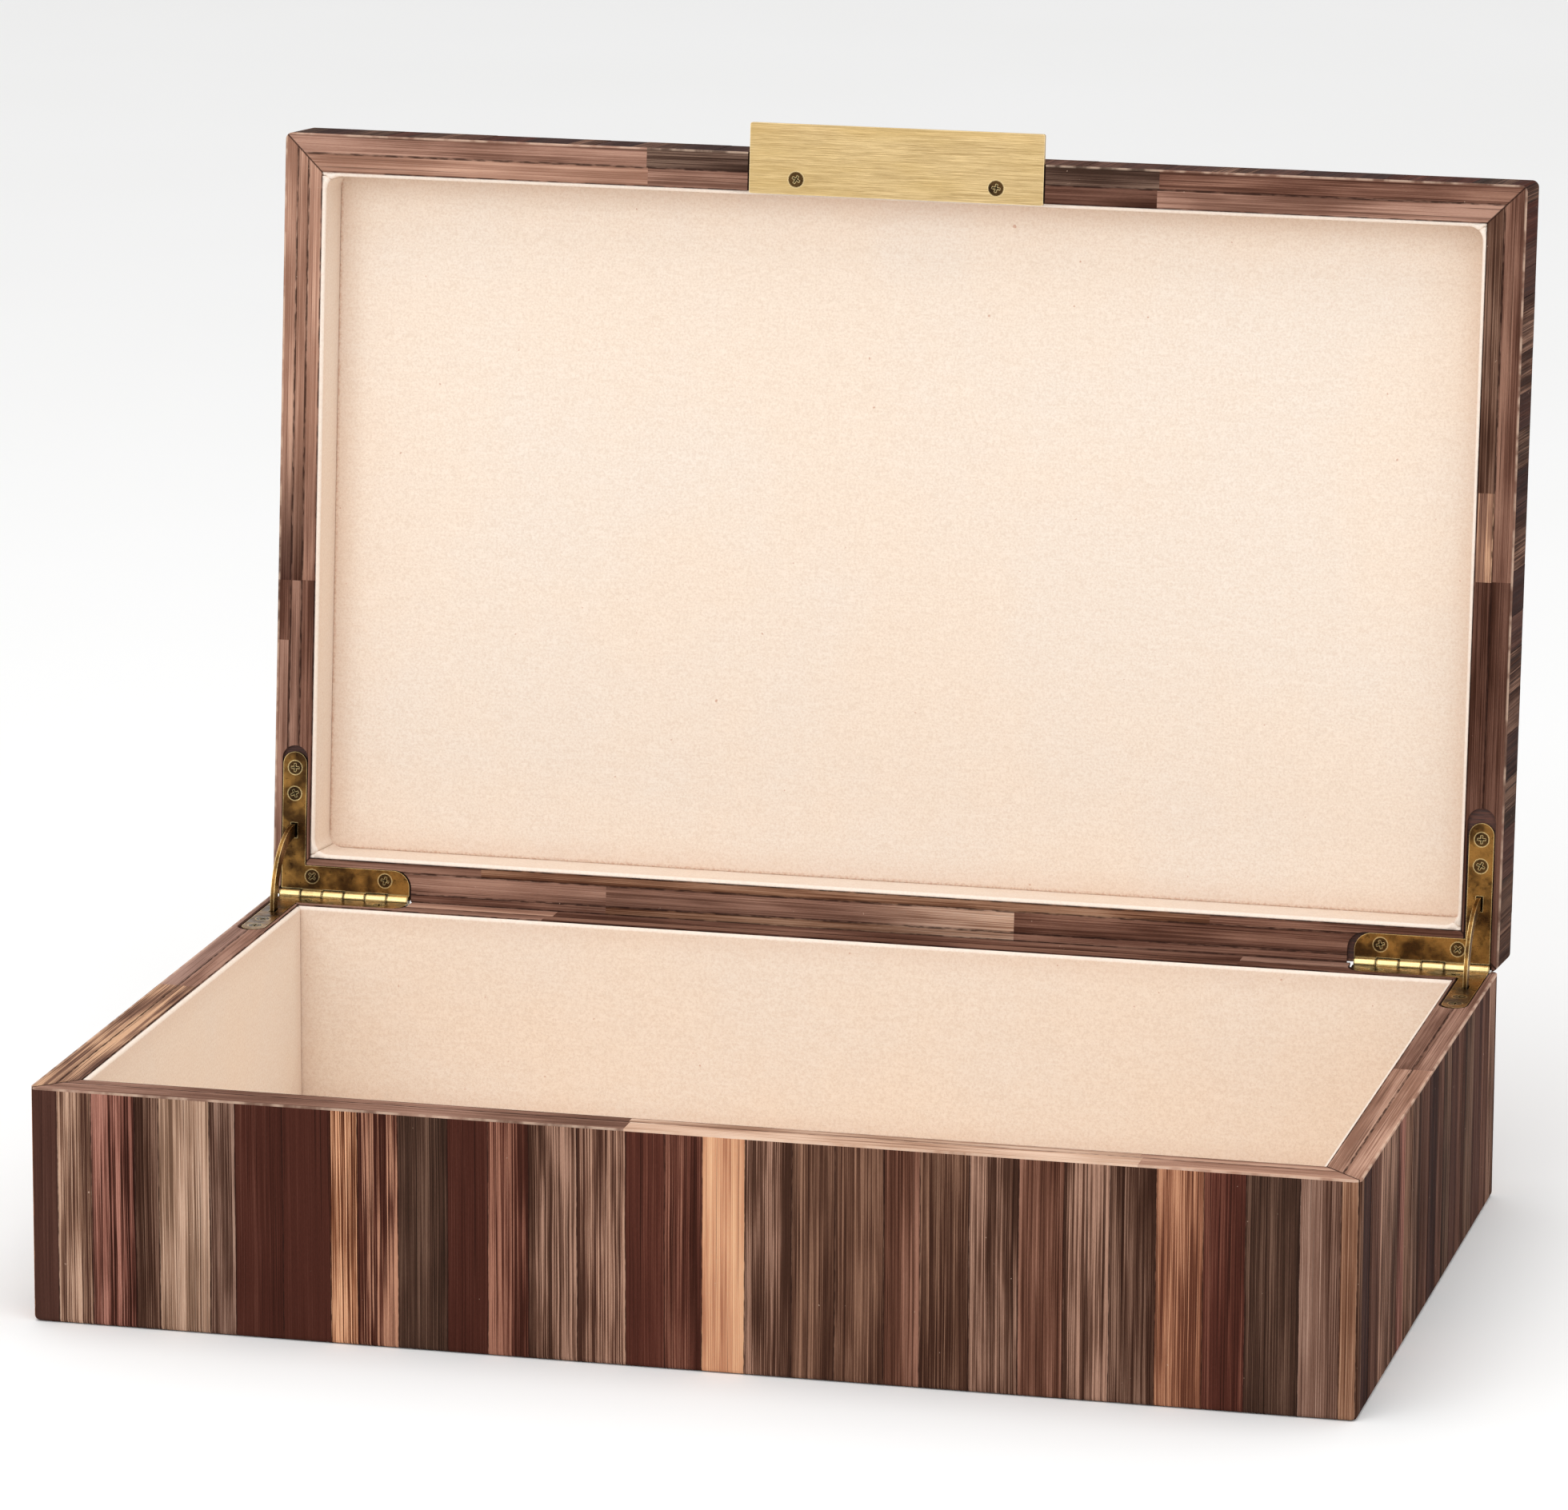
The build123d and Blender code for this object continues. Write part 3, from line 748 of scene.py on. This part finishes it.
def straw_material(name, contrast, fade_along, joint_width, arris=0.0):
    """Split straw laid side by side: fine fibres along the strip, uneven dye, dark lines at the joints.

    arris is how brightly the outer edge of a rim is rubbed. A rim also has dark lines at its mitres.
    """
    s = Shader(name)
    across, along, seed = s.split(s.attribute("fibre"))
    half, streaks, tilt = s.split(s.attribute("figure"))
    home_x, home_y, _ = s.split(s.attribute("at_home"))
    main = s.attribute("dye_main", "Color")
    streak = s.attribute("dye_streak", "Color")
    dark = s.attribute("dye_dark", "Color")
    shifted = s.math("ADD", across, s.math("MULTIPLY", seed, 3.0))

    def fibres(per_mm, along_per_mm, **settings):
        place = s.join(s.math("MULTIPLY", shifted, per_mm), s.math("MULTIPLY", along, along_per_mm), seed)
        return s.noise(place, **settings)

    bundles = fibres(0.62, 0.006, detail=2, roughness=0.6)
    fine = fibres(2.3, 0.009, detail=2, roughness=0.7)
    hairs = fibres(4.4, 0.018, detail=2, roughness=0.6)
    patches = fibres(0.16, 0.022, detail=3)
    uptake = s.math("MULTIPLY", s.math("DIVIDE", across, half), s.math("MULTIPLY", tilt, DYE_SLANT))
    for layer, weight in ((bundles, 0.5), (fine, 0.6), (hairs, 0.8), (patches, fade_along)):
        uptake = s.math("ADD", uptake, s.math("MULTIPLY", s.math("SUBTRACT", layer, 0.5), weight))
    swing = s.math("MULTIPLY", s.math("SUBTRACT", uptake, EVEN_UPTAKE), s.math("MULTIPLY", streaks, contrast))
    colour = s.mix(s.math("MULTIPLY", swing, 1.0, clamp=True), main, streak)
    colour = s.mix(s.math("MULTIPLY", swing, -1.0, clamp=True), colour, dark)
    cracks = s.fade(fibres(2.6, 0.01, detail=1), 0.35, 0.29)
    deepest = s.mix(0.5, dark, DEEPEST_DYE)
    colour = s.mix(s.math("MULTIPLY", cracks, 0.75), colour, deepest)
    edge = s.math("SUBTRACT", half, s.math("ABSOLUTE", across))
    joint = s.fade(edge, joint_width, joint_width * 0.3)
    worn_joint = s.fade(fibres(0.1, 0.25, detail=2), 0.35, 0.6, 0.3, 0.85)
    if arris:
        from_ends = s.math("SUBTRACT", HALF_WIDTH, s.math("ABSOLUTE", home_x))
        from_sides = s.math("SUBTRACT", HALF_DEPTH, s.math("ABSOLUTE", home_y))
        from_front = s.math("ADD", HALF_DEPTH, home_y)
        outermost = s.fade(s.math("MINIMUM", from_ends, from_front), 0.75, 0.3)
        joint = s.math("MULTIPLY", joint, s.math("SUBTRACT", 1.0, outermost))
        rubbed_and_lit = s.fade(fibres(0.1, 0.18, detail=3), 0.38, 0.6, 0.15, 1.0)
        colour = s.mix(s.math("MULTIPLY", outermost, s.math("MULTIPLY", rubbed_and_lit, arris)), colour, RUBBED_STRAW)
        mitre = s.fade(s.math("ABSOLUTE", s.math("SUBTRACT", from_ends, from_sides)), 0.45, 0.15)
        colour = s.mix(s.math("MULTIPLY", mitre, MITRE_DARKNESS), colour, MITRE_DARK)
    colour = s.mix(s.math("MULTIPLY", joint, worn_joint), colour, JOINT_DARK)
    grain = fibres(7.0, 0.9, detail=2)
    colour = s.mix(s.fade(grain, 0.3, 0.7, 0.0, 0.16), colour, main, "OVERLAY")
    specks = s.fade(s.noise(s.place_mm(), scale=0.75, detail=1, roughness=0.4), 0.8, 0.84)
    colour = s.mix(s.math("MULTIPLY", specks, 0.5), colour, STRAW_SPECK)
    relief = s.math("ADD", s.math("MULTIPLY", fine, 0.6), s.math("MULTIPLY", grain, 0.3))
    relief = s.math("SUBTRACT", relief, s.math("MULTIPLY", s.math("ADD", joint, cracks), 0.5))
    roughness = s.fade(s.math("ADD", fine, s.math("MULTIPLY", grain, 0.4)), 0.45, 0.95, 0.46, 0.66)
    s.set(Base_Color=colour, Roughness=roughness, Normal=s.bump(relief, 0.08))
    s.surface.inputs["Specular IOR Level"].default_value = STRAW_GLOSS
    return s.material


def suede_material():
    """Cream suede: a fine nap with faint mottling, with painted shade near its borders and where it folds
    into a crease, and a painted highlight along its turned edge at the rim.
    """
    s = Shader("suede")
    place = s.place_mm()
    seam = s.attribute("seam", "Fac")
    turned = s.attribute("turned", "Fac")
    cloud = s.noise(place, scale=0.02, detail=3)
    colour = s.mix(s.fade(cloud, 0.35, 0.65), rgb(246, 231, 215), rgb(244, 232, 219))
    nap = s.noise(place, scale=1.5, detail=4, roughness=0.8)
    colour = s.mix(s.fade(nap, 0.6, 0.34, 0.0, 0.42), colour, rgb(214, 188, 166))
    # Painted shade: darker within 9 mm of each lining's edges
    border = s.fade(seam, 9.0, 0.5, 0.0, 0.22)
    colour = s.mix(border, colour, rgb(214, 178, 154))
    lines = s.noise(s.scaled(place, (0.2, 0.2, 1.6)), detail=2)
    colour = s.mix(s.fade(lines, 0.62, 0.42, 0.0, 0.1), colour, rgb(224, 196, 170))
    specks = s.fade(s.noise(place, scale=0.55, detail=1), 0.2, 0.17)
    colour = s.mix(s.math("MULTIPLY", specks, 0.6), colour, rgb(196, 140, 112))
    dots = s.fade(s.noise(place, scale=1.1, detail=1), 0.44, 0.62)
    # Painted shade in the crease along each lining's edges, broken up by dots
    crease_shade = s.math("MULTIPLY", s.fade(seam, 1.3, 0.3), s.fade(dots, 0, 1, 0.05, 0.4))
    colour = s.mix(crease_shade, colour, rgb(200, 150, 124))
    # Painted highlight along the turned edge of the suede at the rim
    colour = s.mix(s.fade(turned, 1.1, 0.5, 0.0, 0.7), colour, rgb(252, 241, 229))
    fuzz = s.noise(place, scale=5.0, detail=2)
    s.set(Base_Color=colour, Roughness=0.95, Normal=s.bump(s.math("ADD", nap, fuzz), 0.12, 0.7))
    s.surface.inputs["Sheen Weight"].default_value = 0.25
    s.surface.inputs["Sheen Roughness"].default_value = 0.5
    s.surface.inputs["Sheen Tint"].default_value = rgb(255, 240, 225)
    s.surface.inputs["Specular IOR Level"].default_value = 0.15
    return s.material


def aged_brass(name, bright, patina, deep, edge, crevice_shade_reach, edge_radius):
    """Brass with painted shade in its hollows, rubbed bright on its edges, which also stands in for a painted
    highlight there, with a painted highlight on top of its knuckles and painted shade in the gaps between
    them.
    """
    s = Shader(name)
    place = s.place_mm()
    cloud = s.noise(place, scale=0.13, detail=3, roughness=0.55)
    colour = s.mix(s.fade(cloud, 0.36, 0.66), patina, bright)
    stain = s.noise(place, scale=0.8, detail=4, roughness=0.6)
    colour = s.mix(s.fade(stain, 0.44, 0.28, 0.0, 0.6), colour, deep)
    x, y, z = s.split(place)
    from_pin_y = s.math("SUBTRACT", y, PIN.y)
    from_pin_z = s.math("SUBTRACT", z, PIN.z)
    y_squared = s.math("MULTIPLY", from_pin_y, from_pin_y)
    z_squared = s.math("MULTIPLY", from_pin_z, from_pin_z)
    squared = s.math("ADD", y_squared, z_squared)
    barrel = s.fade(squared, (BARREL_RADIUS * 1.3) ** 2, (BARREL_RADIUS * 1.02) ** 2)
    # Painted highlight along the upper front of each barrel
    rubbed_and_lit = s.fade(s.math("SUBTRACT", from_pin_z, from_pin_y), BARREL_RADIUS * 0.7, BARREL_RADIUS * 1.3)
    colour = s.mix(s.math("MULTIPLY", barrel, 0.8), colour, patina)
    colour = s.mix(s.math("MULTIPLY", barrel, rubbed_and_lit), colour, edge)
    # Painted shade in the gaps between the knuckles
    steps = s.math("DIVIDE", s.math("SUBTRACT", s.math("ABSOLUTE", x), BARREL_START), KNUCKLE_PITCH)
    from_gap = s.math("ABSOLUTE", s.math("SUBTRACT", steps, s.math("ROUND", steps)))
    knuckle_gap_shade = s.math("MULTIPLY", s.fade(from_gap, 0.09, 0.035), barrel)
    colour = s.mix(knuckle_gap_shade, colour, deep)
    # Painted shade in hollows, slots and corners, from ambient occlusion
    colour = s.mix(s.math("MULTIPLY", s.crevice_shade(crevice_shade_reach), 0.9), colour, deep)
    # Rubbed bright edges, which also stand in for painted highlights on them
    worn_and_lit = s.worn_and_lit_edges(edge_radius)
    colour = s.mix(s.math("MULTIPLY", worn_and_lit, s.fade(cloud, 0.35, 0.55, 0.5, 1.0)), colour, edge)
    scratches = s.noise(s.scaled(place, (0.4, 0.4, 9.0)), detail=2)
    roughness = s.fade(s.math("ADD", stain, scratches), 0.7, 1.3, 0.42, 0.24)
    s.set(Base_Color=colour, Roughness=roughness, Normal=s.bump(s.math("ADD", stain, scratches), 0.05, 0.6))
    s.surface.inputs["Metallic"].default_value = 1.0
    return s.material


def brushed_brass_material():
    """Satin brass brushed along its length, a little darker in places, brighter at its edges with wear and a
    painted highlight, and with painted shade in its corners and slots.
    """
    s = Shader("brushed_brass")
    place = s.place_mm()
    lines = s.noise(s.scaled(place, (0.07, 5.0, 5.0)), detail=4, roughness=0.75)
    hairs = s.noise(s.scaled(place, (0.16, 11.0, 11.0)), detail=2)
    cloud = s.noise(s.scaled(place, (0.03, 0.12, 0.12)), detail=2)
    colour = s.mix(s.fade(lines, 0.36, 0.64), rgb(184, 156, 108), rgb(228, 200, 148))
    colour = s.mix(s.fade(cloud, 0.35, 0.65, 0.0, 0.5), colour, rgb(200, 170, 112))
    colour = s.mix(s.fade(hairs, 0.42, 0.3, 0.0, 0.5), colour, rgb(140, 112, 70))
    # Bright edges: wear, and a painted highlight
    colour = s.mix(s.worn_and_lit_edges(0.4), colour, rgb(240, 216, 168))
    # Painted shade in corners and screw slots, where the tab meets the lining
    colour = s.mix(s.math("MULTIPLY", s.crevice_shade(1.2), 0.85), colour, rgb(58, 42, 26))
    roughness = s.fade(lines, 0.3, 0.7, 0.5, 0.36)
    s.set(Base_Color=colour, Roughness=roughness, Normal=s.bump(s.math("ADD", lines, hairs), 0.05, 0.7))
    s.surface.inputs["Metallic"].default_value = 1.0
    s.surface.inputs["Anisotropic"].default_value = 0.5
    return s.material


def board_material():
    """Dark stained board, with its grain along the box."""
    s = Shader("dark_board")
    place = s.place_mm()
    grain = s.noise(s.scaled(place, (0.04, 1.6, 1.6)), detail=4, roughness=0.6, distortion=0.4)
    colour = s.mix(s.fade(grain, 0.35, 0.65), rgb(58, 32, 26), rgb(96, 58, 46))
    pores = s.noise(s.scaled(place, (0.3, 5.0, 5.0)), detail=1)
    colour = s.mix(s.fade(pores, 0.4, 0.3, 0.0, 0.7), colour, rgb(32, 18, 16))
    s.set(Base_Color=colour, Roughness=s.fade(grain, 0.3, 0.7, 0.6, 0.78), Normal=s.bump(pores, 0.08))
    return s.material


def felt_material():
    """Pressed felt under the box."""
    s = Shader("felt")
    place = s.place_mm()
    fluff = s.noise(place, scale=2.2, detail=4, roughness=0.75)
    threads = s.noise(s.scaled(place, (3.0, 0.8, 2.0)), detail=2, distortion=1.5)
    colour = s.mix(s.fade(fluff, 0.3, 0.7), rgb(38, 30, 27), rgb(66, 54, 48))
    colour = s.mix(s.fade(threads, 0.6, 0.75, 0.0, 0.4), colour, rgb(92, 78, 70))
    s.set(Base_Color=colour, Roughness=0.97, Normal=s.bump(s.math("ADD", fluff, threads), 0.2))
    s.surface.inputs["Sheen Weight"].default_value = 0.3
    return s.material


# ---------------------------------------------------------------- the box

straw = straw_material("dyed_straw_look", contrast=12.0, fade_along=0.5, joint_width=0.3)
rim_straw = straw_material("rim_straw_look", contrast=10.0, fade_along=1.1, joint_width=0.5, arris=0.55)
suede = suede_material()
hinge_brass = aged_brass(
    "hinge_brass", rgb(158, 116, 60), rgb(70, 48, 26), rgb(20, 12, 7), rgb(250, 220, 156),
    crevice_shade_reach=1.6, edge_radius=0.35,
)
screw_metal = aged_brass(
    "screw_brass_look", rgb(84, 62, 36), rgb(44, 32, 20), rgb(6, 4, 3), rgb(244, 216, 156),
    crevice_shade_reach=2.4, edge_radius=0.3,
)
tab_brass = brushed_brass_material()
board = board_material()
felt = felt_material()


# The faces whose dyes are drawn at random, and the dyes that they are drawn from
DRAWN_FACES = (
    ("base", "back", ALL_DYES),
    ("base", "left", ALL_DYES),
    ("lid", "front", DARK_DYES),
    ("lid", "right", DARK_DYES),
    ("lid", "back", ALL_DYES),
    ("lid", "left", ALL_DYES),
    ("lid", "top", ALL_DYES),
)
DRAWN_STREAKS = (0.2, 0.7)
FRONT_SEED, RIGHT_SEED, DRAWN_SEED, DYE_SEED, BASE_RIM_SEED, LID_RIM_SEED = 11, 12, 13, 21, 31, 41


def drawn_dyes(side, dyes, seed):
    count = len(RIGHT_DYES) if side in ("left", "right") else len(FRONT_DYES)
    rng = random.Random(seed)
    return [(rng.choice(dyes), rng.uniform(*DRAWN_STREAKS)) for _ in range(count)]


marquetry("base", "front", FRONT_DYES, straw, FRONT_SEED)
marquetry("base", "right", RIGHT_DYES, straw, RIGHT_SEED)
for number, (body, side, dyes) in enumerate(DRAWN_FACES):
    marquetry(body, side, drawn_dyes(side, dyes, DYE_SEED + number), straw, DRAWN_SEED + number)
for number, side in enumerate(SIDES):
    rim("base", side, BASE_RIM_DYES[side], rim_straw, BASE_RIM_SEED + number, BASE_RIM_PAINTED_SHADE)
    rim("lid", side, LID_RIM_DYES[side], rim_straw, LID_RIM_SEED + number, LID_RIM_PAINTED_SHADE)

tab_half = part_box("lift_tab")[1].x / MM + TAB_NOTCH_CLEARANCE
tab_inner = max((LID_HOME @ (v.co / MM)).z for v in nodes["lift_tab"].data.vertices)


def tab_notch(u):
    """How low the front lining of the lid may reach, so that it clears the tab let in beside it."""
    return tab_inner + TAB_NOTCH_CLEARANCE if abs(u) < tab_half else -END


for body, flat_part in (("base", "floor"), ("lid", "panel")):
    lining(body, flat_part, suede, crowned=True)
    for side in SIDES:
        lining(body, side, suede, notch=tab_notch if (body, side) == ("lid", "front") else None)

# The materials of the nodes that are shown as the CAD made them, by the CAD's names for them
looks = {
    "antique_brass": hinge_brass,
    "screw_brass": screw_metal,
    "brushed_brass": tab_brass,
    "dark_board": board,
    "underside_felt": felt,
}
for node in nodes.values():
    slots = node.material_slots
    if slots and slots[0].material.name in looks and not node.hide_render:
        slots[0].material = looks[slots[0].material.name]


# ---------------------------------------------------------------- studio

camera_data = bpy.data.cameras.new("camera")
camera_data.lens = LENS
camera_data.sensor_width = 36
camera_data.clip_end = 40
camera = bpy.data.objects.new("camera", camera_data)
bpy.context.scene.collection.objects.link(camera)
axes = Matrix((CAMERA_RIGHT, -CAMERA_DOWN, -CAMERA_FORWARD)).transposed()
camera.matrix_world = Matrix.Translation(CAMERA_PLACE * MM) @ axes.to_4x4()
bpy.context.scene.camera = camera

FLOOR_SIZE = 14000.0
floor_reach = FLOOR_SIZE / 2 * MM
floor_corners = [(x * floor_reach, y * floor_reach, 0) for x, y in ((-1, -1), (1, -1), (1, 1), (-1, 1))]
floor_mesh = bpy.data.meshes.new("floor")
floor_mesh.from_pydata(floor_corners, [], [(0, 1, 2, 3)])
floor = bpy.data.objects.new("floor", floor_mesh)
bpy.context.scene.collection.objects.link(floor)
floor_shader = Shader("floor")
mottle = floor_shader.noise(floor_shader.place_mm(), scale=0.004, detail=2)
floor_shader.set(Base_Color=floor_shader.mix(mottle, rgb(247, 247, 246), rgb(250, 250, 250)), Roughness=0.9)
floor_mesh.materials.append(floor_shader.material)


def area_light(name, place, aim, size, power, colour=(1, 1, 1)):
    data = bpy.data.lights.new(name, "AREA")
    data.shape = "RECTANGLE"
    data.size, data.size_y = size[0] * MM, size[1] * MM
    data.energy = power
    data.color = colour
    light = bpy.data.objects.new(name, data)
    direction = Vector(aim) - Vector(place)
    turn = direction.to_track_quat("-Z", "Y").to_matrix().to_4x4()
    light.matrix_world = Matrix.Translation(Vector(place) * MM) @ turn
    bpy.context.scene.collection.objects.link(light)


area_light("key", (-500, -1500, 1100), (0, 0, 130), (1400, 1000), 7)
area_light("fill", (1300, -1100, 600), (0, 0, 100), (1000, 900), 1.5)
area_light("top", (0, -200, 1700), (0, 0, 60), (1400, 1400), 8)

world = bpy.data.worlds.new("studio")
world.use_nodes = True
backdrop = world.node_tree.nodes["Background"]
backdrop.inputs["Color"].default_value = (1, 1, 1, 1)
backdrop.inputs["Strength"].default_value = BACKDROP_STRENGTH
bpy.context.scene.world = world
bpy.context.scene.view_settings.view_transform = "Standard"
